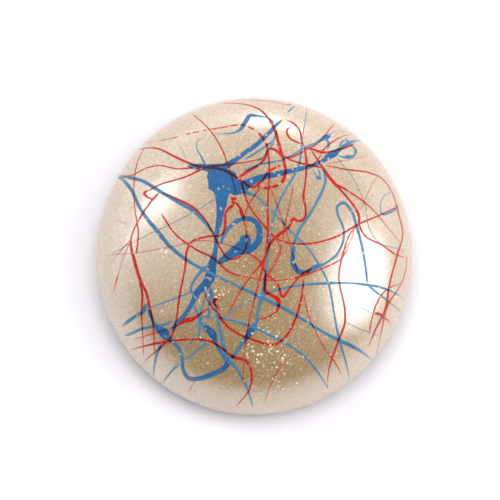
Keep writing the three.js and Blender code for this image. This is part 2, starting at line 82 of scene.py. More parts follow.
# Builds one node tree
class Look:
    def __init__(self, name, tree=None):
        if tree is None:
            self.material = bpy.data.materials.new(name)
            self.material.use_nodes = True
            tree = self.material.node_tree
        self.tree = tree
        tree.nodes.clear()

    def node(self, kind, settings=None, inputs=None, output=0):
        made = self.tree.nodes.new("ShaderNode" + kind)
        for key, value in (settings or {}).items():
            setattr(made, key, value)
        for key, value in (inputs or {}).items():
            self.feed(made.inputs[key], value)
        return Wire(self, made.outputs[output])

    def feed(self, socket, value):
        if isinstance(value, Wire):
            self.tree.links.new(value.socket, socket)
        elif socket.type == "RGBA" and len(value) == 3:
            socket.default_value = (*value, 1.0)
        else:
            socket.default_value = value

    def blend(self, first, second, by):
        # the colour mix node keeps its colour sockets at 6 and 7, and its result at 2
        settings = {"data_type": "RGBA"}
        return self.node("Mix", settings, {0: by, 6: first, 7: second}, 2)

    def place(self):
        return self.node("TexCoord").output("Object")

    def noise(self, scale, detail=3.0, roughness=0.55):
        inputs = {"Vector": self.place(), "Scale": scale, "Detail": detail, "Roughness": roughness}
        return self.node("TexNoise", None, inputs)

    def cells(self, scale):
        return self.node("TexVoronoi", None, {"Vector": self.place(), "Scale": scale})

    def attribute(self, name):
        return self.node("Attribute", {"attribute_name": name}, None, "Fac")

    def rimward(self, halfWidth, halfDepth):
        # 0 over the middle of the cake and 1 above its rim
        parts = self.node("SeparateXYZ", None, {0: self.place()})
        across = parts / (halfWidth * mm)
        along = parts.output("Y") / (halfDepth * mm)
        return (across * across + along * along) ** 0.5

    def bump(self, height, strength, distance):
        inputs = {"Height": height, "Strength": strength, "Distance": distance * mm}
        return self.node("Bump", None, inputs)

    def principled(self, **inputs):
        named = {key.replace("_", " "): value for key, value in inputs.items()}
        return self.node("BsdfPrincipled", None, named)

    def finish(self, shader, kind="OutputMaterial"):
        output = self.tree.nodes.new("ShaderNode" + kind)
        self.feed(output.inputs["Surface"], shader)
        return getattr(self, "material", None)


cake = {
    "halfWidth": 20.0,
    "halfDepth": 20.45,
    "height": 12.0,
    "waist": 2.6,  # where the side wall turns into the dome
    "tuck": 0.9,  # how far the wall draws in by the time it reaches the base
    "turns": 256,  # steps round the cake
    "rise": 56,  # steps from the waist to the top
    "wall": 14,  # steps from the base to the waist
}


# The dome at one place on the plan, inset evenly from the outside: a point and the way out
def domeAt(x, y, inset):
    wide, deep = cake["halfWidth"] - inset, cake["halfDepth"] - inset
    high = cake["height"] - cake["waist"] - inset
    reach = math.hypot(x / wide, y / deep)
    if reach > 0.999:
        x, y = x / reach * 0.999, y / reach * 0.999
    up = high * math.sqrt(1 - (x / wide) ** 2 - (y / deep) ** 2)
    out = Vector((x / wide**2, y / deep**2, up / high**2)).normalized()
    return Vector((x, y, cake["waist"] + up)) * mm, out


def domeProfile(inset, low=0.0):
    # from the height low above the waist up to the axis
    wide, high = cake["halfWidth"] - inset, cake["height"] - cake["waist"] - inset
    start = math.asin(low / high)
    angles = [start + (math.pi / 2 - start) * i / cake["rise"] for i in range(cake["rise"] + 1)]
    return [(wide * math.cos(a), cake["waist"] + high * math.sin(a)) for a in angles]


def wallProfile(inset, foot):
    # from the height foot up to just under the waist
    steps, found = cake["wall"], []
    for i in range(steps):
        z = foot + (cake["waist"] - foot) * i / steps
        below = 1 - z / cake["waist"]
        tuck = cake["tuck"] * (1 - math.sqrt(1 - below * below))
        found.append((cake["halfWidth"] - inset - tuck, z))
    return found


# Spins a profile of (radius, height) pairs round the axis, then makes it as oval as the cake
def spun(profile, inset):
    bm = bmesh.new()
    points = [bm.verts.new((r, 0.0, z)) for r, z in profile]
    edges = [bm.edges.new(pair) for pair in zip(points, points[1:])]
    bmesh.ops.spin(
        bm, geom=points + edges, cent=(0, 0, 0), axis=(0, 0, 1), dvec=(0, 0, 0),
        angle=math.tau, steps=cake["turns"], use_merge=True, use_duplicate=False,
    )
    bmesh.ops.remove_doubles(bm, verts=bm.verts, dist=1e-5)
    oval = (cake["halfDepth"] - inset) / (cake["halfWidth"] - inset)
    bmesh.ops.scale(bm, vec=(mm, oval * mm, mm), verts=bm.verts)
    bmesh.ops.recalc_face_normals(bm, faces=bm.faces)
    return bm


def piece(name, bm, looks, slot, nodes=(), smooth=True):
    mesh = bpy.data.meshes.new(name)
    for face in bm.faces:
        face.smooth = smooth
    bm.to_mesh(mesh)
    bm.free()
    for look in looks:
        mesh.materials.append(look)
    made = bpy.data.objects.new(name, mesh)
    bpy.context.scene.collection.objects.link(made)
    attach(made, "root")
    if nodes:
        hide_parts(*nodes)
    return made


# The pearl body: tan pigment full of fine mica, under a glaze of its own
pearl = {
    "inset": 0.14,
    "deep": (0.420, 0.245, 0.080),
    "pale": (0.530, 0.390, 0.230),
    "warm": (0.450, 0.260, 0.095),
    # edge: a paler tone over the outer part of the dome, a painted reflection of the bright floor
    # and walls caught on its steep slopes
    "edge": (0.500, 0.380, 0.260),
    # rim: a darker band right at the outline, painted shade where the rim mirrors the shaded floor
    # at its foot
    "rim": (0.36, 0.215, 0.135),
    "mica": (0.85, 0.72, 0.50),
    "dark": (0.20, 0.105, 0.05),
    "grain": 6200,  # cells of pigment to a metre
    "flakes": 4200,  # and of the sparser, brighter flakes
}


def pearlLook():
    look = Look("pearlPigment")
    cloud = look.noise(105, 4.0).above(0.36, 0.66)
    patch = look.noise(380, 3.0).above(0.42, 0.72)
    colour = look.blend(pearl["deep"], pearl["pale"], cloud * 0.34 + patch * 0.14)
    colour = look.blend(colour, pearl["warm"], look.noise(60, 2.0).above(0.50, 0.75) * 0.5)
    grain = look.cells(pearl["grain"]).output("Color")
    speck = look.node("SeparateColor", None, {0: grain})
    colour = look.blend(colour, pearl["mica"], speck.above(0.55, 1.0) * 0.30)
    colour = look.blend(colour, pearl["dark"], speck.output("Green").above(0.6, 1.0) * 0.35)
    flake = look.node("SeparateColor", None, {0: look.cells(pearl["flakes"]).output("Color")})
    colour = look.blend(colour, pearl["mica"], flake.above(0.95, 0.99) * 0.4)
    reach = look.rimward(cake["halfWidth"], cake["halfDepth"])
    # painted reflection: the pigment turns paler towards the rim
    colour = look.blend(colour, pearl["edge"], reach.above(0.80, 0.99) * 0.75)
    # painted shade: darker along the outline
    colour = look.blend(colour, pearl["rim"], reach.above(0.972, 0.995) * 0.7)
    height = speck + look.noise(900, 2.0) * 1.5
    return look.finish(
        look.principled(
            Base_Color=colour,
            Roughness=speck.output("Blue") * 0.16 + 0.24,
            IOR=1.5,
            Coat_Weight=1.0,
            Coat_Roughness=0.24,
            Coat_IOR=3.0,
            Normal=look.bump(height, 0.25, 0.02),
        )
    )


pearlProfile = [(0, 0)] + wallProfile(pearl["inset"], 0) + domeProfile(pearl["inset"])
piece("pearlBody", spun(pearlProfile, pearl["inset"]), [pearlLook()], "pearl", ["pearl_core"])
print("pearl body made")

# The drizzled ink: each trail is a list of (x, y, width) on the plan, in the order it was laid
blueTrails = {
    "blue_main_pool": [
        (-4.5, 9.1, 1.9), (-4.35, 8.2, 2.7), (-4.2, 7.1, 3.1), (-3.9, 6, 2.7), (-3.95, 4.9, 1.5),
    ],
    "blue_trunk": [
        (-4.1, 6.6, 2.2), (-3.9, 5, 1.7), (-4, 3.4, 1.1), (-4.2, 1.8, 0.8), (-4.5, 0, 0.6),
        (-4.6, -1.6, 0.6),
        (-4.9, -3, 1), (-5.2, -4.6, 1.3), (-5.7, -5.6, 1.2), (-6.7, -6.5, 0.9), (-7.2, -7.5, 0.7),
        (-8, -8.8, 0.6), (-9, -9.8, 0.6), (-9.9, -10.9, 0.6),
    ],
    "blue_right_arm": [
        (-2.9, 5.5, 1.2), (-1.6, 6, 1.5), (-0.4, 6.8, 1.1), (1, 7.4, 0.95), (2.4, 7.8, 0.8),
        (4.4, 8.3, 0.7), (6.4, 8.9, 0.6), (8.2, 9.8, 0.6), (9.1, 10.6, 0.9), (9.8, 11.1, 0.9),
        (10.6, 11.9, 0.6), (12.1, 13.2, 0.5), (13.4, 14, 0.35),
    ],
    "blue_second_arm": [
        (-1.3, 8.2, 0.4), (0.5, 9, 0.35), (1.9, 9.4, 0.35), (3.2, 9.7, 0.3), (4.5, 10.4, 0.3),
        (5.6, 11.2, 0.3), (6.9, 12, 0.35), (8.1, 12.7, 0.25),
    ],
    "blue_upper_bar": [
        (-8.1, 9.2, 0.6), (-6.9, 9, 0.85), (-5.4, 8.9, 0.8), (-3.4, 9, 0.9), (-2.2, 9.8, 0.7),
        (-1, 10.8, 0.7), (0, 11.6, 0.75), (1, 12.6, 0.65), (2, 13.8, 0.6), (2.8, 14.9, 0.5),
        (3.5, 15.7, 0.3),
    ],
    "blue_upper_rail": [
        (-1.3, 9.7, 0.3), (0.2, 10.7, 0.35), (1.6, 11.8, 0.35), (2.4, 12.6, 0.3), (2.8, 14, 0.3),
    ],
    "blue_upper_loop": [
        (-4.8, 13.5, 0.18), (-3.4, 13.5, 0.25), (-2.4, 13.6, 0.35), (-1.7, 14.1, 0.5),
        (-1.1, 15.2, 0.6), (-0.5, 16.2, 0.65), (0.5, 16.1, 0.5), (1.7, 15.8, 0.4), (2.5, 15, 0.4),
    ],
    "blue_curl": [
        (-5.9, 9.1, 0.4), (-6.5, 10.4, 0.3), (-7.1, 11.8, 0.2), (-6.9, 12.7, 0.18),
        (-6.3, 13.2, 0.12),
    ],
    "blue_centre_loop": [
        (-4, -1, 0.4), (-3.6, 0.2, 0.5), (-2.9, 1.2, 0.55), (-2, 1.9, 0.6), (-0.9, 2.2, 0.65),
        (0.2, 1.7, 0.7), (0.6, 0.6, 0.8), (0.3, -0.8, 0.9), (-0.8, -1.7, 0.9), (-2, -1.9, 0.9),
        (-3.2, -2.4, 0.8), (-4.3, -3.2, 0.8),
    ],
    "blue_centre_pool": [(-1.7, 0, 0.6), (-1.3, -0.3, 1.5), (-0.9, -0.7, 1.8), (-0.4, -0.8, 1.5)],
    "blue_lower_loop": [
        (-10.9, -11.2, 0.9), (-9.9, -11.9, 0.6), (-9, -12.8, 0.5), (-8.6, -14, 0.5),
        (-8.5, -15.2, 0.5),
        (-7.9, -16.2, 0.55), (-6.6, -16.3, 0.6), (-5.2, -15.9, 0.65), (-3.9, -15.4, 0.65),
        (-3.2, -14.7, 0.7), (-3.2, -13.9, 0.7),
    ],
    "blue_left_arm": [
        (-16.2, -9.9, 0.25), (-15.3, -9.4, 0.5), (-14.3, -8.9, 0.45), (-13.3, -8.4, 0.55),
        (-12.9, -7.5, 0.6),
    ],
    "blue_left_bar": [
        (-15.9, -10.9, 0.25), (-15, -10.8, 0.4), (-13.5, -10.4, 0.4), (-12.2, -10.2, 0.4),
        (-10.9, -10.1, 0.35), (-9.5, -9.7, 0.3),
    ],
    "blue_left_drop": [
        (-12.7, -8.1, 0.6), (-12.3, -9.1, 0.5), (-11.8, -10.1, 0.6), (-11.1, -10.8, 0.9),
        (-10.5, -11.5, 1.1),
    ],
    "blue_left_tail": [
        (-11, -12.2, 0.55), (-11.6, -13.2, 0.45), (-12, -14.3, 0.4), (-12.3, -15.8, 0.25),
    ],
    "blue_small_pool": [
        (-6.2, -10.2, 0.45), (-5.4, -10.9, 0.9), (-4.9, -11.4, 1.0), (-4.6, -12.2, 0.6),
        (-4.1, -13.2, 0.5), (-3.3, -14.4, 0.6),
    ],
    "blue_long_thread": [
        (-17.4, 9.5, 0.4), (-16.2, 8.3, 0.45), (-15, 6.6, 0.5), (-14.2, 4.8, 0.45),
        (-13.3, 3.2, 0.5), (-11.6, 1, 0.55), (-10.2, -0.8, 0.55), (-9, -1.9, 0.5),
        (-7.7, -2.9, 0.45), (-5.2, -4.3, 0.4), (-2.4, -5.7, 0.4), (0.8, -7.2, 0.5),
        (4.3, -8.9, 0.45), (8.4, -11.2, 0.4), (10.1, -11.9, 0.5), (12.7, -12.9, 0.45),
        (14.2, -13.7, 0.25),
    ],
    "blue_left_thread": [
        (-17.1, 9.4, 0.45), (-15.5, 8.6, 0.5), (-13.6, 7.7, 0.5), (-11.6, 6.2, 0.55),
        (-9.6, 4.8, 0.5), (-7.2, 3.2, 0.5), (-5.7, 1.6, 0.45), (-4.7, 0.2, 0.4),
    ],
    "blue_swan_thread": [
        (13.5, -5.1, 0.4), (13.3, -3.2, 0.38), (12.9, -0.8, 0.4), (12.3, 1.6, 0.42),
        (11.7, 3.5, 0.42), (10.8, 4.5, 0.45), (9.95, 4, 0.42), (9.95, 3.1, 0.38),
        (10.6, 1.4, 0.35), (10.6, -0.2, 0.35), (9.7, -2, 0.35), (8.3, -3.1, 0.35),
        (7.3, -3.5, 0.6), (6.2, -4.1, 0.5), (5.2, -4.1, 0.75), (4.6, -3.1, 0.7), (4.7, -1, 0.5),
        (5.2, 0.6, 0.4), (6.8, 3.2, 0.4), (8.3, 6.2, 0.4), (8.6, 7.4, 0.35), (8.3, 8.8, 0.4),
    ],
    "blue_rising_thread": [
        (-3, -14.6, 0.5), (-1.6, -12.7, 0.5), (-0.4, -11, 0.8), (0.2, -10.1, 0.5),
        (0.4, -8.8, 0.4), (0.9, -7, 0.5), (1.2, -5.2, 0.4), (1.6, -2.2, 0.35), (2.2, 2, 0.35),
        (3.2, 4.8, 0.35), (4.8, 7.8, 0.35), (5.4, 9.2, 0.35), (6, 13.6, 0.2), (6.7, 17.8, 0.22),
    ],
    "blue_falling_thread": [
        (-5.2, -6.2, 0.5), (-4.7, -7.6, 0.35), (-4.4, -9, 0.35), (-4.1, -10.6, 0.45),
        (-3.6, -12.4, 0.35), (-3, -14.2, 0.45), (-2.1, -15.3, 0.4), (-1.3, -16.6, 0.35),
        (-0.6, -18.2, 0.3), (-0.2, -19.5, 0.3),
    ],
    "blue_bent_drop": [
        (-7.2, -8, 0.3), (-6.5, -9.4, 0.35), (-6.4, -10.4, 0.35), (-6.5, -11.4, 0.35),
        (-6, -12.4, 0.4), (-5.1, -12.5, 0.3),
    ],
    "blue_low_thread": [
        (-6.6, -9.2, 0.3), (-4.6, -9.4, 0.3), (-2.8, -9.8, 0.35), (-0.2, -10.6, 0.4),
        (2, -11.6, 0.35), (4.5, -12.9, 0.35), (6.3, -14.2, 0.35), (7.8, -15.9, 0.3),
        (9, -17.4, 0.2),
    ],
    "blue_cross_thread": [
        (-3.3, -9.6, 0.2), (-1.8, -8.2, 0.25), (0.6, -7.1, 0.3), (2.8, -6.3, 0.3),
        (5.6, -5.7, 0.35), (8.6, -5.4, 0.4), (11, -5.25, 0.28), (13.4, -5.3, 0.42),
        (15.6, -5.5, 0.32), (18.2, -6.2, 0.22),
    ],
    "blue_steep_thread": [
        (-1.6, 5.7, 0.7), (0.2, 4.9, 0.35), (1.6, 3.6, 0.3), (4.1, 0.9, 0.3), (6.6, -1.7, 0.28),
        (8, -3.9, 0.3), (8.8, -5.6, 0.33), (9.4, -8.8, 0.3), (10, -11.5, 0.35), (11.2, -15, 0.28),
        (11.7, -16.4, 0.2),
    ],
    "blue_right_thread": [
        (10, 10.8, 0.15), (12.1, 7.8, 0.18), (13.4, 4.6, 0.18), (13.9, 1.5, 0.18),
        (15.2, -0.1, 0.18), (18.6, -0.5, 0.18),
    ],
    "blue_slant_thread": [
        (-17.6, -1.2, 0.12), (-14, 0.2, 0.16), (-10, 1.8, 0.18), (-7.3, 3.1, 0.18),
        (-4.6, 4.7, 0.2),
    ],
    "blue_rim_hook": [
        (17.2, 7, 0.16), (16, 6.1, 0.2), (15.4, 4.7, 0.2), (15.6, 3.6, 0.3), (16.9, 4.2, 0.35),
        (18, 5.2, 0.3),
    ],
}
redTrails = {
    "red_upper_run": [
        (-14.6, 12.8, 0.25), (-12.1, 12.2, 0.3), (-9.4, 10.4, 0.35), (-6.7, 9, 0.4),
        (-4, 8.5, 0.4), (-1.7, 7.1, 0.4), (-0.3, 6.1, 0.4), (0.8, 6.8, 0.4), (1.8, 8.2, 0.35),
        (3.3, 9.1, 0.3),
    ],
    "red_side_run": [
        (-12.9, 6.3, 0.25), (-11.4, 7, 0.3), (-8.4, 7.7, 0.3), (-5.9, 8.8, 0.35), (-3.4, 9.1, 0.3),
        (-0.6, 9.5, 0.25), (1.7, 10.1, 0.2),
    ],
    "red_left_loop": [
        (-17, 9, 0.2), (-15, 8.9, 0.25), (-13.3, 9.5, 0.25), (-11.6, 9.6, 0.25), (-9.4, 8.9, 0.25),
        (-7.4, 8.9, 0.3),
    ],
    "red_crest_loop": [
        (-13.8, 13.6, 0.2), (-10.6, 13.4, 0.2), (-7.6, 13.9, 0.25), (-4.2, 14.4, 0.25),
        (-1.4, 14.7, 0.3), (0.6, 13.4, 0.35), (1.6, 11.2, 0.4), (0.9, 9.4, 0.4), (-0.9, 8.1, 0.45),
        (-1.9, 7.3, 0.4),
    ],
    "red_hook": [
        (-4, 18.7, 0.25), (-1.2, 18.2, 0.28), (0.6, 17.3, 0.32), (1.8, 15.7, 0.38),
        (2.6, 13.7, 0.42), (3.1, 11.4, 0.48), (3.6, 9.5, 0.45), (3.7, 7.8, 0.48), (3.2, 6.7, 0.5),
        (1.6, 6, 0.42), (0.2, 6.2, 0.32),
    ],
    "red_diagonal": [
        (-7.8, 17.1, 0.2), (-5.4, 14, 0.25), (-4, 11.4, 0.25), (-3.1, 8.8, 0.25), (-2.2, 5.5, 0.2),
    ],
    "red_plumb_line": [
        (1.6, 11.6, 0.3), (1.8, 8.8, 0.3), (1.6, 4.3, 0.3), (1.5, -1, 0.35), (0.9, -4, 0.3),
        (0, -7.4, 0.25), (-0.8, -10.8, 0.25), (-1.3, -14.2, 0.2),
    ],
    "red_heavy_run": [
        (6.1, 11.6, 0.26), (6.3, 10.2, 0.42), (6.3, 8.7, 0.36), (6, 6, 0.3), (5.85, 5.1, 0.42),
        (6.1, 3.6, 0.34), (6, 2.4, 0.34), (5.3, 1.9, 0.42), (4.6, 2.2, 0.42), (4.1, 1.2, 0.42),
        (2.9, 0.2, 0.51), (1.9, -0.8, 0.42), (1.1, -2.8, 0.34), (-0.6, -5, 0.26),
        (-2.2, -7.4, 0.24),
        (-3.1, -9.4, 0.17),
    ],
    "red_right_run": [
        (6.9, 11.4, 0.26), (8, 9.5, 0.35), (8.7, 8.3, 0.44), (9.4, 7.3, 0.53), (10.4, 6.2, 0.37),
        (12.1, 4.1, 0.37), (12.6, 3, 0.42), (12.6, 1.9, 0.33), (13.4, 0.5, 0.31),
        (15.4, -0.3, 0.26), (17.2, -1.2, 0.28), (18.7, -1.35, 0.18),
    ],
    "red_right_branch": [
        (9.9, 6.9, 0.35), (11.7, 5.9, 0.32), (14.2, 4.2, 0.25), (16.4, 1.9, 0.15),
        (17.9, 0.4, 0.15),
    ],
    "red_small_loop": [
        (3.9, 15.7, 0.2), (5, 15, 0.35), (5.7, 13.8, 0.3), (5.8, 12.5, 0.25), (6.2, 11.5, 0.2),
    ],
    "red_half_ring": [(4.6, 14.8, 0.3), (4, 13.9, 0.33), (4.4, 12.8, 0.33), (5.8, 12.1, 0.25)],
    "red_beaded_run": [
        (6.1, 11.5, 0.3), (7.2, 11.4, 0.38), (8.3, 11.1, 0.48), (9.4, 11.3, 0.35),
        (10.6, 11.8, 0.35), (12.5, 12.9, 0.3),
    ],
    "red_crossbar": [
        (3.4, 10.4, 0.3), (4.4, 9.8, 0.3), (5.6, 9.4, 0.3), (7, 9.2, 0.35), (8.2, 8.9, 0.3),
    ],
    "red_left_run": [
        (-11.6, 5.9, 0.4), (-13.4, 3.6, 0.3), (-14.9, 0.4, 0.3), (-14.4, -2.4, 0.48),
        (-13.7, -4.6, 0.42), (-12.9, -6.3, 0.4), (-12.5, -8, 0.42), (-12.1, -9.8, 0.32),
        (-12, -11.4, 0.25), (-12, -13.3, 0.2),
    ],
    "red_far_left_run": [
        (-13.8, 12.9, 0.2), (-14.6, 10.4, 0.25), (-14.8, 7.6, 0.2), (-14.6, 4.6, 0.2),
        (-14, 1, 0.25), (-14.2, -1.6, 0.3),
    ],
    "red_double_run": [
        (-13.8, -4.8, 0.28), (-13.4, -6.4, 0.35), (-13.5, -8.6, 0.3), (-13.4, -11.2, 0.22),
        (-13.4, -13.5, 0.2),
    ],
    "red_knot_in": [
        (-11.2, 5.9, 0.35), (-9.3, 4.9, 0.35), (-7.4, 3.8, 0.35), (-5.9, 2.2, 0.3),
        (-4.8, 0.2, 0.3), (-3.9, -1.6, 0.3), (-3, -2.7, 0.3), (-1.9, -2.5, 0.3), (-1.1, -1.6, 0.3),
        (-0.9, -0.2, 0.3), (-1.2, 1.8, 0.3), (-1.8, 3.4, 0.4),
    ],
    "red_knot_out": [
        (-2.5, 4.4, 0.68), (-2.7, 3.8, 0.51), (-3.4, 2.9, 0.42), (-3.5, 1.2, 0.42),
        (-3.9, 0.2, 0.34),
        (-5.6, 0.05, 0.32), (-7.4, -0.5, 0.36), (-8, -1.6, 0.38), (-8.2, -3.6, 0.32),
        (-8.8, -6.6, 0.32), (-9.3, -9.8, 0.32), (-9.8, -11.4, 0.32), (-11, -12.5, 0.3),
        (-13.6, -14.2, 0.19),
    ],
    "red_smile": [
        (-1.6, 6.8, 0.35), (-0.7, 3.9, 0.3), (0.9, 1.6, 0.3), (2.9, -0.4, 0.3), (6.2, -0.8, 0.3),
        (9.7, 0.2, 0.3), (12.4, 1.9, 0.3), (15.2, 3.4, 0.25), (17.8, 5.1, 0.2),
    ],
    "red_belly_run": [
        (-11.2, 3.2, 0.25), (-9.4, 0.5, 0.3), (-7, -1.4, 0.3), (-4.8, -2.6, 0.32), (-3, -4.2, 0.3),
        (0, -5, 0.22), (3, -5.2, 0.22), (5.3, -4.75, 0.3), (7.5, -3.9, 0.25), (10.2, -2.5, 0.25),
        (11.2, -1, 0.2),
    ],
    "red_zigzag": [
        (-0.9, -1.9, 0.25), (0.4, -2.8, 0.3), (1.4, -4.4, 0.3), (2.7, -5.6, 0.3), (3.3, -7.1, 0.4),
        (4.3, -5.9, 0.28), (5.4, -4.6, 0.3),
    ],
    "red_low_run": [
        (-15, -12.6, 0.22), (-11.2, -12.1, 0.35), (-7.6, -11.9, 0.3), (-5.4, -12.1, 0.35),
        (-3.5, -13.2, 0.35), (-2.4, -14, 0.42), (-1, -14.4, 0.38), (-0.35, -15.8, 0.35),
        (-0.6, -17.6, 0.28), (-2.2, -19.5, 0.2),
    ],
    "red_dart_run": [
        (-5.2, -8.2, 0.25), (-6.5, -9.1, 0.3), (-7.4, -9.6, 0.55), (-8.3, -9.8, 0.55),
        (-9.2, -10.3, 0.25), (-11.4, -10.9, 0.22), (-14.6, -11.5, 0.15),
    ],
    "red_basket": [
        (-4.3, -8.9, 0.45), (-3.5, -10.2, 0.35), (-2, -11.3, 0.32), (0, -12.1, 0.35),
        (2.3, -12.6, 0.32), (3.7, -11.6, 0.35), (4.9, -9.4, 0.35), (5.5, -7.2, 0.35),
        (5.8, -5, 0.3),
    ],
    "red_small_bend": [
        (1.4, -4.2, 0.45), (1.25, -5.6, 0.42), (1.3, -6.5, 0.5), (2.1, -7, 0.42), (2.8, -7.5, 0.6),
        (2.7, -8.6, 0.35), (1.9, -9.3, 0.3), (0.3, -9.8, 0.2),
    ],
    "red_steep_thread": [
        (4.7, 6.4, 0.2), (4.1, 3.6, 0.2), (3.6, 1.4, 0.25), (3.1, -1.4, 0.2), (2.1, -3.6, 0.2),
    ],
    "red_shoulder_run": [
        (12.3, 1.8, 0.23), (11.3, 0.4, 0.23), (10.6, -1.6, 0.27), (10, -4.6, 0.27),
        (10.7, -8.2, 0.31), (10.7, -10, 0.33), (9.8, -12.4, 0.3), (8.9, -15.2, 0.25),
        (8.8, -17.3, 0.17),
    ],
    "red_rim_run": [
        (8.6, 9.3, 0.23), (11.2, 9, 0.27), (14, 9, 0.3), (15.9, 8.5, 0.27), (17.2, 6.8, 0.3),
        (17.8, 4.4, 0.35), (18.3, 1.6, 0.3), (17.4, -1.4, 0.3), (16.4, -4.8, 0.3),
        (15.8, -8, 0.35), (14.6, -10.4, 0.3), (13.8, -12.4, 0.2),
    ],
}

ink = {
    "step": 0.13,  # between cross sections
    "grid": 0.13,  # between points across a trail
    "film": 0.008,  # thickness of one trail
    "gap": 0.004,  # between a trail and what it lies on
    "clear": 0.35,  # how far round it a trail feels what it has to climb over
    "wobble": 0.10,  # share of the width that its edges wander
    "tip": 0.5,  # length of a tapered end
    "drawn": 0.04,  # how far each edge pulls itself in as the ink dries
    "kept": 0.62,  # and the share of a hair that is left of it at least
    # trails with rougher edges than the rest, and how many times rougher
    "rough": {
        "red_beaded_run": 3.0, "red_heavy_run": 1.7, "red_dart_run": 2.2, "red_knot_out": 1.6,
    },
    "crown": 0.55,  # share of the film that is left at a trail's edges
    "chips": (1.9, 0.16),  # how often a chipped trail breaks, and how much of it stays
    "chipped": {"red_crest_loop": (0.03, 0.72), "red_hook": (0.80, 0.97)},  # from, to
}


# Follows a route smoothly, and gives even steps along it
def followed(route):
    knots = [Vector(p) for p in route]
    knots = [knots[0] * 2 - knots[1], *knots, knots[-1] * 2 - knots[-2]]
    gaps = [math.sqrt((b - a).length) for a, b in zip(knots, knots[1:])]
    fine = []
    for i in range(1, len(knots) - 2):
        before, here, after = gaps[i - 1], gaps[i], gaps[i + 1]
        a, b, c, d = knots[i - 1 : i + 3]
        leaving = (b - a) / before - (c - a) / (before + here) + (c - b) / here
        coming = (c - b) / here - (d - b) / (here + after) + (d - c) / after
        handles = b + leaving * here / 3, c - coming * here / 3
        fine += geometry.interpolate_bezier(b, *handles, c, 40)[:-1]
    fine.append(knots[-2])
    lengths = [0.0]
    for a, b in zip(fine, fine[1:]):
        lengths.append(lengths[-1] + (b - a).xy.length)
    count = max(4, round(lengths[-1] / ink["step"]))
    even, at = [], 0
    for i in range(count + 1):
        want = lengths[-1] * i / count
        while at < len(fine) - 2 and lengths[at + 1] < want:
            at += 1
        share = (want - lengths[at]) / max(1e-9, lengths[at + 1] - lengths[at])
        even.append(fine[at].lerp(fine[at + 1], min(1.0, share)))
    return even, lengths[-1]


# How high the top of the given trails stands over the pearl at one place, or 0
def heightOf(trees, x, y):
    foot, out = domeAt(x, y, pearl["inset"])
    start, best = foot + out * mm, 0.0
    for tree in trees:
        found = tree.ray_cast(start, -out, mm)[3]
        if found is not None:
            best = max(best, 1.0 - found / mm)
    return best


laidBlue, laidRed = [], []


def trail(name, route, colour, look, node=None):
    stations, length = followed(route)
    last = len(stations) - 1
    across = max(3, math.ceil(max(s.z for s in stations) / ink["grid"]))
    sides = []
    for i in range(last + 1):
        way = (stations[min(last, i + 1)] - stations[max(0, i - 1)]).xy.normalized()
        sides.append(Vector((-way.y, way.x)))
    trees = laidBlue + laidRed
    under = []
    for station, side in zip(stations, sides):
        spots = [station.xy + side * station.z * share for share in (-0.5, 0.0, 0.5)]
        under.append(max(heightOf(trees, *spot) for spot in spots))
    reach = round(ink["clear"] / ink["step"])
    lifted = [max(under[max(0, i - reach) : i + reach + 1]) for i in range(last + 1)]
    nearby = [lifted[max(0, i - reach) : i + reach + 1] for i in range(last + 1)]
    smooth = [sum(some) / len(some) for some in nearby]
    heights = [max(a, b) + ink["gap"] for a, b in zip(under, smooth)]

    bm = bmesh.new()
    bmesh.ops.create_grid(bm, x_segments=last, y_segments=across, size=0.5)
    over = bm.verts.layers.float.new("over")
    dense = bm.verts.layers.float.new("dense")
    middle = bm.verts.layers.float.new("middle")
    seed = sum(ord(letter) for letter in name) * 0.37
    columns = {}
    rough = ink["wobble"] * ink["rough"].get(node, 1.0)
    for vert in bm.verts:
        i, share = round((vert.co.x + 0.5) * last), vert.co.y * 2
        station, side = stations[i], sides[i]
        along = length * i / last
        tip = min(1.0, math.sqrt((min(along, length - along) + 0.04) / ink["tip"]))
        wander = noise.noise(Vector((along * 1.3, math.copysign(4.0, share), seed)))
        ripple = noise.noise(Vector((along * 5.0, math.copysign(9.0, share), seed)))
        dried = max(station.z / 2 - ink["drawn"], station.z / 2 * ink["kept"])
        half = dried * tip * (1 + rough * (1.6 * wander + ripple))
        spot = station.xy + side * half * share
        foot, out = domeAt(*spot, pearl["inset"])
        vert[over] = 1.0 if colour == "red" and heightOf(laidBlue, *spot) else 0.0
        vert[dense] = station.z * tip
        vert[middle] = 1 - abs(share)
        vert.co = foot + out * heights[i] * mm
        columns[vert] = i
    if node in ink["chipped"]:
        start, end = ink["chipped"][node]
        pace, kept = ink["chips"]
        lost = []
        for face in bm.faces:
            i = min(columns[vert] for vert in face.verts)
            patchy = noise.noise(Vector((length * i / last * pace, seed, 0.0))) > kept
            if patchy and start < i / last < end:
                lost.append(face)
        bmesh.ops.delete(bm, geom=lost, context="FACES")
    raised = bmesh.ops.extrude_face_region(bm, geom=list(bm.faces), use_keep_orig=True)["geom"]
    for vert in [item for item in raised if isinstance(item, bmesh.types.BMVert)]:
        foot, out = domeAt(vert.co.x / mm, vert.co.y / mm, pearl["inset"])
        crown = ink["crown"] + (1 - ink["crown"]) * math.sqrt(vert[middle])
        vert.co += out * ink["film"] * crown * mm
    bmesh.ops.recalc_face_normals(bm, faces=bm.faces)
    (laidBlue if colour == "blue" else laidRed).append(BVHTree.FromBMesh(bm))
    return piece(name, bm, [look], colour + "_ink", [node] if node else [])


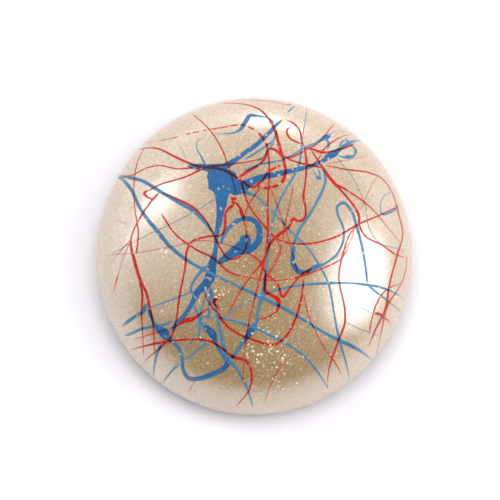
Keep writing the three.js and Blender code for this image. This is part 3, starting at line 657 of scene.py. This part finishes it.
def inkLook(name, tones):
    look = Look(name)
    dense = look.attribute("dense")
    wide = dense.above(*tones["widths"])
    mottle = look.noise(1100, 3.0).above(0.3, 0.7)
    faint = look.blend(tones["hair"], tones["thin"], dense.above(*tones["hairs"]))
    colour = look.blend(faint, tones["thick"], wide * 0.8 + wide * mottle * 0.2)
    colour = look.blend(colour, tones["deep"], look.noise(330, 2.0).above(0.45, 0.75) * wide * 0.6)
    edge = 1 - look.attribute("middle").above(0.0, 0.35)
    colour = look.blend(colour, tones["deep"], edge * wide * 0.15)
    crossed = look.attribute("over").above(0.3, 0.7)
    colour = look.blend(colour, tones["crossed"], crossed)
    fleck = look.node("SeparateColor", None, {0: look.cells(3300).output("Color")})
    colour = look.blend(colour, tones["worn"], fleck.above(0.965, 0.985) * tones["wear"])
    reach = look.rimward(cake["halfWidth"], cake["halfDepth"])
    # painted reflection: the ink is painted paler towards the rim, where the glaze throws back the
    # bright surroundings at a grazing angle
    colour = look.blend(colour, tones["faded"], reach.above(0.84, 1.0) * tones["rimGlare"])
    return look.finish(look.principled(Base_Color=colour, Roughness=0.45, IOR=1.2))


blueTones = {
    "hair": (0.27, 0.33, 0.34),
    "thin": (0.068, 0.220, 0.355),
    "thick": (0.016, 0.112, 0.300),
    "deep": (0.010, 0.075, 0.225),
    "crossed": (0.02, 0.02, 0.08),
    "worn": (0.60, 0.50, 0.40),
    # faded: the pale colour the ink is painted towards the rim, a painted reflection of the bright
    # surroundings rather than faded ink
    "faded": (0.42, 0.45, 0.45),
    "hairs": (0.10, 0.30),
    "widths": (0.3, 0.8),
    "wear": 0.7,
    "rimGlare": 0.75,
}
redTones = {
    "hair": (0.60, 0.25, 0.18),
    "thin": (0.54, 0.052, 0.038),
    "thick": (0.56, 0.010, 0.007),
    "deep": (0.40, 0.006, 0.005),
    "crossed": (0.052, 0.005, 0.013),
    "worn": (0.62, 0.45, 0.34),
    # faded: the pale colour the ink is painted towards the rim, a painted reflection of the bright
    # surroundings rather than faded ink
    "faded": (0.62, 0.36, 0.31),
    "hairs": (0.08, 0.20),
    "widths": (0.18, 0.34),
    "wear": 0.5,
    "rimGlare": 0.8,
}

# Threads too fine to be parts of their own: each is laid as a separate piece, with no part to hide
fineBlue = [
    [(-0.9, -0.5, 1.3), (-1.5, -1.2, 1.5), (-2.6, -2.0, 1.2), (-3.8, -2.9, 0.9)],
    [(-11.4, -10.3, 0.6), (-10.7, -11.1, 1.2), (-10.1, -11.6, 0.8)],
    [(-4.0, 8.0, 2.2), (-3.2, 7.1, 2.5), (-2.4, 6.3, 2.1), (-1.5, 5.9, 1.5)],
    [(-8.0, 9.2, 0.3), (-6.6, 9.0, 0.8), (-5.3, 8.6, 1.1), (-4.4, 8.2, 1.2)],
    [(-9.6, 12.7, 0.1), (-8.9, 11.6, 0.12), (-8.4, 10.3, 0.12), (-7.8, 9.3, 0.1)],
    [(-8.4, -13.3, 0.2), (-7.5, -12.3, 0.25), (-6.9, -10.9, 0.25), (-6.5, -9.5, 0.25)],
    [(-8.5, -14.3, 0.25), (-7.4, -13.6, 0.3), (-6.4, -12.9, 0.3), (-5.4, -12.4, 0.25)],
    [(-8.6, -14.4, 0.2), (-9.8, -15.3, 0.28), (-11.2, -16.7, 0.2)],
    [(-8.5, -13.7, 0.15), (-9.6, -14.9, 0.2), (-11.0, -16.3, 0.15)],
    [(-12.5, -8.0, 0.2), (-11.0, -7.6, 0.25), (-9.0, -7.0, 0.28), (-7.2, -6.3, 0.3)],
    [
        (-5.4, -3.3, 0.35), (-6.3, -4.1, 0.45), (-7.1, -5.1, 0.38), (-7.5, -6.1, 0.35),
        (-7.1, -6.9, 0.4),
    ],
    [(-5.7, -5.9, 0.35), (-5.8, -7.2, 0.3), (-6.2, -8.4, 0.3), (-6.4, -9.4, 0.35)],
    [(-5.1, -6.0, 0.6), (-5.2, -7.2, 0.45), (-5.3, -8.6, 0.42), (-5.5, -9.8, 0.35)],
    [(-7.2, -7.9, 0.3), (-6.8, -8.7, 0.3), (-6.3, -9.6, 0.4), (-5.9, -10.4, 0.4)],
    [(-4.4, -9.8, 0.4), (-4.0, -11.2, 0.35), (-3.8, -12.6, 0.3), (-3.2, -14.0, 0.35)],
    [(13.6, -5.4, 0.4), (14.7, -6.1, 0.32), (16.1, -6.9, 0.28), (17.9, -7.8, 0.2)],
    [(7.1, 8.7, 0.25), (7.4, 7.9, 0.3), (7.8, 7.5, 0.55), (8.0, 7.8, 0.4), (7.7, 8.9, 0.28)],
    [
        (10.5, 12.0, 0.35), (10.9, 13.0, 0.3), (11.4, 13.4, 0.4), (12.0, 12.9, 0.3),
        (12.1, 12.4, 0.2),
    ],
    [
        (10.2, 11.0, 0.25), (10.8, 10.7, 0.3), (11.5, 10.8, 0.6), (12.3, 11.1, 0.38),
        (12.6, 11.9, 0.42), (12.2, 12.7, 0.3),
    ],
    [(9.5, 13.8, 0.5), (8.9, 13.4, 0.75), (8.2, 12.9, 0.5), (7.4, 12.3, 0.3), (6.8, 11.8, 0.2)],
    [(8.7, 13.3, 0.3), (9.1, 12.7, 0.38), (9.1, 11.9, 0.3), (8.9, 11.5, 0.2)],
    [(9.3, 13.9, 0.2), (10.2, 14.6, 0.15), (11.6, 14.7, 0.1)],
    [(4.2, 16.9, 0.35), (5.1, 18.4, 0.3)],
    [(10.6, -9.7, 0.12), (12.1, -10.3, 0.16), (13.9, -10.8, 0.18), (15.5, -11.1, 0.1)],
    [(12.2, -7.8, 0.1), (14.0, -8.5, 0.14), (16.8, -9.2, 0.1)],
    [(0.2, 9.3, 0.25), (1.2, 10.3, 0.3), (1.8, 11.2, 0.3), (2.4, 12.3, 0.35)],
]
fineRed = [
    [(-1.2, -13.9, 0.2), (-1.3, -15.4, 0.2), (-1.4, -17.4, 0.15)],
    [(-8.0, -17.9, 0.12), (-7.4, -17.0, 0.18), (-6.8, -16.2, 0.1)],
    [(-17.5, -2.3, 0.1), (-16.3, -1.0, 0.16), (-14.9, 0.3, 0.2)],
    [(-2.9, 4.9, 0.25), (-2.5, 4.6, 0.6), (-2.0, 4.8, 0.25)],
    [
        (-17.7, -1.2, 0.12), (-14.3, -1.4, 0.15), (-10.0, -1.0, 0.15), (-6.4, -0.4, 0.18),
        (-3.9, -0.8, 0.18), (-1.1, -1.8, 0.22),
    ],
    [(12.4, 14.7, 0.14), (11.0, 13.9, 0.2), (9.8, 12.9, 0.25), (8.9, 12.0, 0.25), (8.2, 11.2, 0.3)],
    [
        (10.2, 15.9, 0.15), (9.3, 14.6, 0.22), (8.5, 13.2, 0.22), (7.4, 12.0, 0.25),
        (6.3, 11.3, 0.25), (5.3, 10.6, 0.3), (4.2, 10.1, 0.3), (3.2, 10.3, 0.25),
    ],
    [(8.7, 9.5, 0.15), (11.0, 10.2, 0.16), (12.3, 10.7, 0.14), (14.4, 11.6, 0.1)],
    [(1.7, 11.3, 0.35), (2.4, 11.2, 0.4), (3.1, 10.6, 0.38), (3.6, 9.8, 0.35)],
    [(0.7, 6.1, 0.3), (-0.2, 4.7, 0.25), (-1.0, 3.2, 0.25), (-1.2, 2.2, 0.22)],
    [
        (1.9, 6.0, 0.2), (2.7, 3.9, 0.22), (3.4, 1.7, 0.22), (3.8, 0.5, 0.2),
        (4.3, -1.4, 0.2), (4.9, -3.6, 0.2), (5.2, -4.6, 0.2),
    ],
    [(12.0, 1.2, 0.12), (11.4, -0.4, 0.14), (10.4, -1.6, 0.14), (9.4, -2.6, 0.12)],
    [
        (5.7, -6.2, 0.16), (6.0, -7.8, 0.2), (6.6, -9.8, 0.22), (8.2, -12.7, 0.22),
        (9.6, -14.4, 0.24), (10.6, -15.9, 0.14),
    ],
    [(1.2, -19.0, 0.15), (2.0, -17.0, 0.18), (2.9, -15.4, 0.2), (3.7, -14.2, 0.12)],
    [
        (18.9, -1.0, 0.25), (18.5, -3.4, 0.25), (17.5, -5.4, 0.26), (16.1, -7.5, 0.3),
        (15.5, -10.0, 0.25), (14.9, -13.2, 0.12),
    ],
    [
        (17.9, -4.6, 0.14), (16.6, -5.2, 0.2), (15.6, -6.0, 0.22), (14.6, -7.6, 0.28),
        (14.1, -9.2, 0.22), (13.8, -10.8, 0.25),
    ],
    [(14.5, -8.5, 0.5), (15.2, -8.6, 0.35), (16.0, -9.0, 0.28), (16.9, -9.6, 0.12)],
    [(15.6, 9.2, 0.1), (14.5, 7.4, 0.14), (13.4, 5.1, 0.14), (12.8, 3.6, 0.14)],
    [
        (-15.0, 0.0, 0.2), (-15.9, -1.9, 0.14), (-16.4, -3.4, 0.12), (-16.7, -4.4, 0.26),
        (-17.2, -5.8, 0.1),
    ],
    [(-17.0, 3.2, 0.1), (-15.4, 2.2, 0.15)],
    [
        (-4.0, -6.9, 0.45), (-4.5, -7.3, 0.6), (-4.8, -7.8, 0.4), (-4.3, -8.3, 0.3),
        (-4.3, -8.8, 0.3),
    ],
    [(-5.9, -6.6, 0.2), (-5.4, -7.7, 0.25), (-4.8, -8.5, 0.3), (-4.3, -8.9, 0.35)],
    [
        (-2.2, 19.2, 0.15), (1.2, 19.0, 0.18), (3.2, 18.7, 0.2), (4.0, 18.4, 0.3),
        (4.7, 18.5, 0.25), (4.5, 18.9, 0.15),
    ],
    [
        (-12.9, 6.4, 0.3), (-13.4, 6.1, 0.45), (-13.1, 5.6, 0.35), (-12.3, 5.2, 0.35),
        (-11.6, 5.9, 0.4),
    ],
    [(5.2, -4.75, 0.3), (5.7, -4.45, 0.55), (6.2, -4.15, 0.5), (6.7, -3.7, 0.35)],
    [(-2.4, 4.3, 0.4), (-1.7, 3.5, 0.42), (-1.4, 2.7, 0.4), (-1.25, 1.8, 0.38)],
    [(6.4, 9.0, 0.5), (6.9, 9.1, 0.3), (7.6, 9.9, 0.25), (8.3, 10.9, 0.22)],
    [(2.4, -0.2, 0.25), (3.1, -1.6, 0.2), (2.6, -3.0, 0.22), (1.5, -4.6, 0.3)],
]
blueInk, redInk = inkLook("blueInk", blueTones), inkLook("redInk", redTones)
for colour, trails, threads, look in (
    ("blue", blueTrails, fineBlue, blueInk),
    ("red", redTrails, fineRed, redInk),
):
    for name, route in trails.items():
        trail(name.replace("_", "Ink_", 1), route, colour, look, name)
    for number, route in enumerate(threads):
        trail(f"{colour}Thread_{number + 1}", route, colour, look)
    print(colour, "ink laid")

# Mica and dirt: tiny flakes, crowded in a few places and thin elsewhere
mica = {
    "count": 640,
    # middle, spread, share of all flakes, and how large its flakes grow
    "crowds": [
        (2.0, -14.2, 1.9, 0.24, 1.3), (1.5, -11.0, 3.4, 0.10, 0.9), (2.5, -1.5, 6.0, 0.20, 0.8),
        (6.5, -8.0, 4.5, 0.10, 0.8), (2.0, 8.5, 4.5, 0.12, 0.7), (-5.5, -8.5, 2.5, 0.06, 1.0),
        # the crowd at (-10.8, -1.6) is a painted glint: large pale flakes set where the glaze
        # catches a small white highlight
        (-4.4, -6.8, 0.5, 0.02, 1.5), (-10.8, -1.6, 0.4, 0.02, 1.5),
    ],
    "size": (0.03, 0.15),
    "depth": (0.003, 0.02),  # over the pearl: some lie on the ink
    "seed": 12,
}
dirt = {
    "count": 60,
    "crowds": [
        (-9.4, 9.6, 0.9, 0.25, 1.0), (-9.9, 7.2, 0.5, 0.15, 1.0), (-4.4, 8.3, 0.6, 0.1, 1.0),
    ],
    "size": (0.05, 0.13),
    "depth": (0.003, 0.02),
    "seed": 5,
}
flakeThick = 0.003


def scattered(kind):
    rng = random.Random(kind["seed"])
    bm = bmesh.new()
    for _ in range(kind["count"]):
        pick, grown = rng.random(), 0.7
        for cx, cy, spread, share, growth in kind["crowds"]:
            if pick < share:
                x, y, grown = rng.gauss(cx, spread), rng.gauss(cy, spread), growth
                break
            pick -= share
        else:
            x, y = rng.uniform(-17, 17), rng.uniform(-17, 17)
        if math.hypot(x, y) > 18.2:
            continue
        foot, out = domeAt(x, y, pearl["inset"])
        low, high = kind["size"]
        size = (low + (high - low) * rng.random() ** 2) * grown
        disc = bmesh.ops.create_circle(bm, cap_ends=True, segments=5, radius=size * mm)["verts"]
        for vert in disc:
            vert.co *= rng.uniform(0.6, 1.4)
        raised = bmesh.ops.extrude_face_region(bm, geom=disc[0].link_faces[:], use_keep_orig=True)
        top = [item for item in raised["geom"] if isinstance(item, bmesh.types.BMVert)]
        bmesh.ops.translate(bm, vec=(0, 0, flakeThick * mm), verts=top)
        turn = out.to_track_quat("Z", "Y").to_matrix()
        bmesh.ops.rotate(bm, matrix=turn, verts=disc + top)
        depth = rng.uniform(*kind["depth"])
        bmesh.ops.translate(bm, vec=foot + out * depth * mm, verts=disc + top)
    bmesh.ops.recalc_face_normals(bm, faces=bm.faces)
    return bm


def flakeLook(name, dark, light, roughness):
    look = Look(name)
    shade = look.noise(2500, 1.0).above(0.35, 0.65)
    colour = look.blend(dark, light, shade)
    return look.finish(look.principled(Base_Color=colour, Roughness=roughness, IOR=1.6))


micaLook = flakeLook("micaFlake", (0.62, 0.47, 0.27), (0.92, 0.85, 0.68), 0.25)
dirtLook = flakeLook("darkSpeck", (0.05, 0.03, 0.02), (0.16, 0.10, 0.06), 0.7)
piece("micaFlakes", scattered(mica), [micaLook], "pearl", smooth=False)
piece("darkSpecks", scattered(dirt), [dirtLook], "pearl", smooth=False)
print("mica and dirt scattered")

# The clear coat over everything, with its wall drawn down to just above the base
coat = {
    "wall": 0.045,
    "lift": 0.15,
    "seatGap": 0.03,
    "seatTop": 0.5,  # above the waist, where the coat leaves the pearl to make room for the ink
    "shine": 0.018,  # share of light that it throws back head on
    "graze": 0.12,  # and how much more at its edge
    "roughness": 0.10,
    "tint": (1.0, 0.995, 0.985),
}


def coatLook(name, shine):
    look = Look(name)
    facing = look.node("LayerWeight", None, {"Blend": 0.5}, "Facing")
    mirror = shine + coat["graze"] * facing**5
    dents = look.noise(260, 2.0) + look.noise(1400, 2.0) * 0.12
    glaze = look.principled(
        Base_Color=(1.0, 1.0, 1.0),
        Metallic=1.0,
        Roughness=coat["roughness"],
        Normal=look.bump(dents, 0.3, 0.02),
    )
    see = look.node("BsdfTransparent", None, {"Color": coat["tint"]})
    look.material.surface_render_method = "BLENDED"
    return look.finish(look.node("MixShader", None, {0: mirror, 1: see, 2: glaze}))


def coatBody():
    seat = pearl["inset"] - coat["seatGap"]
    outside = wallProfile(0, coat["lift"]) + domeProfile(0)
    skirt = wallProfile(seat, coat["lift"]) + [(cake["halfWidth"] - seat, cake["waist"])]
    high = cake["height"] - cake["waist"] - seat
    skirtTop = (cake["halfWidth"] - seat) * math.sqrt(1 - (coat["seatTop"] / high) ** 2)
    skirt.append((skirtTop, cake["waist"] + coat["seatTop"]))
    inside = skirt + domeProfile(coat["wall"], coat["seatTop"])
    bm = spun(outside[::-1] + inside, 0)
    heart = Vector((0, 0, cake["waist"] * mm))
    for face in bm.faces:
        inner = face.normal.dot(face.calc_center_median() - heart) < 0
        face.material_index = 1 if inner else 0
    return bm


coatLooks = [coatLook("clearGloss", coat["shine"]), coatLook("clearInside", 0.0)]
piece("glossCoat", coatBody(), coatLooks, "clear", ["gloss_coat"])
print("clear coat made")

# The room: a white floor, a pale horizon with a dim ceiling, and soft light from the sides and back
room = {
    "floor": 3.0,
    "horizon": 1.0,
    "ceiling": 0.06,
    "daylight": (0.965, 1.0, 1.06, 1.0),
    "horizonTop": (8, 30),  # degrees above the floor where the horizon fades into the ceiling
    # where each light stands (degrees right of the back, degrees up), how far round its middle it
    # is full, where it has faded out, and how bright it is
    "lights": {
        "rightWindow": (95, 38, 8, 28, 4.2),
        "rightGlow": (52, 34, 8, 40, 0.85),
        "leftWindow": (-50, 38, 3, 11, 3.6),
        "leftPane": (-62, 33, 2, 9, 2.2),
        "leftStrip": (-76, 27, 1.5, 7, 2.4),
        "leftGlow": (-64, 38, 8, 50, 0.95),
        "backGlow": (-6, 22, 6, 38, 0.75),
        "backPane": (3, 14, 1.5, 4, 20),
        "cornerPane": (15, 18, 1, 3, 18),
    },
}


def plainFloor():
    bm = bmesh.new()
    bmesh.ops.create_grid(bm, x_segments=1, y_segments=1, size=room["floor"] / 2)
    mesh = bpy.data.meshes.new("floor")
    bm.to_mesh(mesh)
    bm.free()
    look = Look("paleFloor")
    tint = look.blend((0.68, 0.65, 0.67), (0.70, 0.67, 0.68), look.noise(6, 2.0))
    # the floor glows a little, painted light that keeps it white; the glow is left out close round
    # the front and sides of the cake, which paints its shadow there, while behind the cake most of
    # the glow stays
    along = look.node("SeparateXYZ", None, {0: look.place()}).output("Y")
    behind = along.above(-14 * mm, 14 * mm) * 0.7
    glowClearOfPaintedShadow = look.rimward(cake["halfWidth"], cake["halfDepth"]).above(0.97, 1.12)
    glowClearOfPaintedShadow = glowClearOfPaintedShadow + behind * (1 - glowClearOfPaintedShadow)
    glow = look.principled(
        Base_Color=tint,
        Roughness=0.7,
        Emission_Color=look.blend((0.0, 0.0, 0.0), (0.98, 0.96, 1.0), glowClearOfPaintedShadow),
        Emission_Strength=0.3,
    )
    mesh.materials.append(look.finish(glow))
    floor = bpy.data.objects.new("floor", mesh)
    bpy.context.scene.collection.objects.link(floor)


def plainSky():
    world = bpy.data.worlds.new("room")
    world.use_nodes = True
    bpy.context.scene.world = world
    look = Look("room", world.node_tree)
    way = look.node("TexCoord").output("Generated")
    low, high = (math.sin(math.radians(a)) for a in room["horizonTop"])
    dim = look.node("SeparateXYZ", None, {0: way}).output("Z").above(low, high)
    sky = room["horizon"] + dim * (room["ceiling"] - room["horizon"])
    for turn, up, full, faded, glow in room["lights"].values():
        turn, up = math.radians(turn), math.radians(up)
        towards = (math.sin(turn) * math.cos(up), math.cos(turn) * math.cos(up), math.sin(up))
        settings = {"operation": "DOT_PRODUCT"}
        near = look.node("VectorMath", settings, {0: way, 1: towards}, "Value")
        edges = math.cos(math.radians(faded)), math.cos(math.radians(full))
        sky = sky + near.above(*edges) * glow
    daylight = {"Color": room["daylight"], "Strength": sky}
    look.finish(look.node("Background", None, daylight), "OutputWorld")


# A lamp overhead that only lightens the pigment, and is not seen in the glaze
def fillLight(name, towards, away, size, power):
    lamp = bpy.data.lights.new(name, "AREA")
    lamp.shape, lamp.size, lamp.energy = "SQUARE", size, power
    box = bpy.data.objects.new(name, lamp)
    way = Vector(towards).normalized()
    box.location = way * away + Vector((0, 0, cake["height"] * mm))
    box.rotation_mode = "QUATERNION"
    box.rotation_quaternion = way.to_track_quat("Z", "Y")
    box.visible_glossy = False
    bpy.context.scene.collection.objects.link(box)


plainFloor()
plainSky()
fillLight("overhead", (0.05, -0.12, 1.0), 0.6, 0.5, 1.5)

# The camera looks down steeply from the front
view = {"elevation": 78, "distance": 138, "aim": (-0.53, -0.2, 5.0), "lens": 80.13}
camera = bpy.data.objects.new("camera", bpy.data.cameras.new("camera"))
tilt = math.radians(view["elevation"])
back = Vector((0, -math.cos(tilt), math.sin(tilt)))
camera.location = (Vector(view["aim"]) + back * view["distance"]) * mm
camera.rotation_mode = "QUATERNION"
camera.rotation_quaternion = back.to_track_quat("Z", "Y")
camera.data.lens, camera.data.sensor_width = view["lens"], 36
camera.data.clip_start = 0.005
bpy.context.scene.collection.objects.link(camera)
bpy.context.scene.camera = camera
bpy.context.scene.view_settings.view_transform = "Standard"

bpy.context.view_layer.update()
print("room and camera set")
